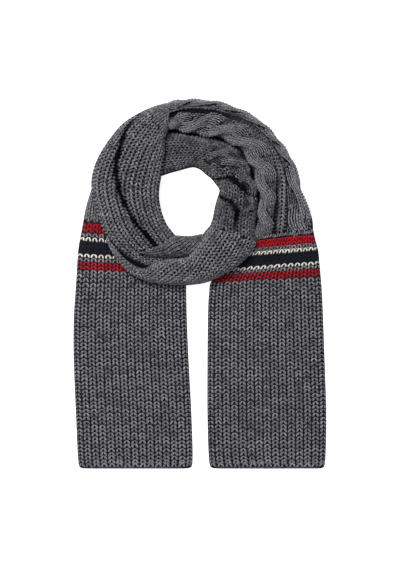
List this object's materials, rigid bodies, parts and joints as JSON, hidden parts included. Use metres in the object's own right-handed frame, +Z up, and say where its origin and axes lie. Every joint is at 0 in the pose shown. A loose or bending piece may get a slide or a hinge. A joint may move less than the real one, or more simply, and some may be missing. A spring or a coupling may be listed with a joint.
{
  "type": "chunky knit scarf, wound once and laid flat",
  "caption": "Ribbed and cable-knit scarf wound once round a neck opening and laid flat, with two straight ribbed tails that each carry a band of coloured stripes.",
  "frame": {"origin": "centre of the scarf's outline on the table it lies on", "axes": "+Y from the tails' hems towards the top of the wound part, +X to the right tail, +Z up off the table"},
  "size_m": [0.44, 0.6441, 0.0435],
  "materials": {
    "grey_yarn": "chunky melange wool-blend yarn, dark grey with paler flecks, soft matte with a little fuzz",
    "navy_yarn": "chunky yarn, near-black navy, soft matte",
    "red_yarn": "chunky yarn, deep red, soft matte",
    "ivory_yarn": "chunky yarn, warm ivory, soft matte"
  },
  "bodies": {
    "root": {"left_tail": "grey_yarn", "right_tail": "grey_yarn", "outer_turn": "grey_yarn", "under_turn": "grey_yarn", "inner_turn": "grey_yarn", "left_turn": "grey_yarn", "tongue": "grey_yarn", "front_turn": "grey_yarn"}
  },
  "joints": []
}
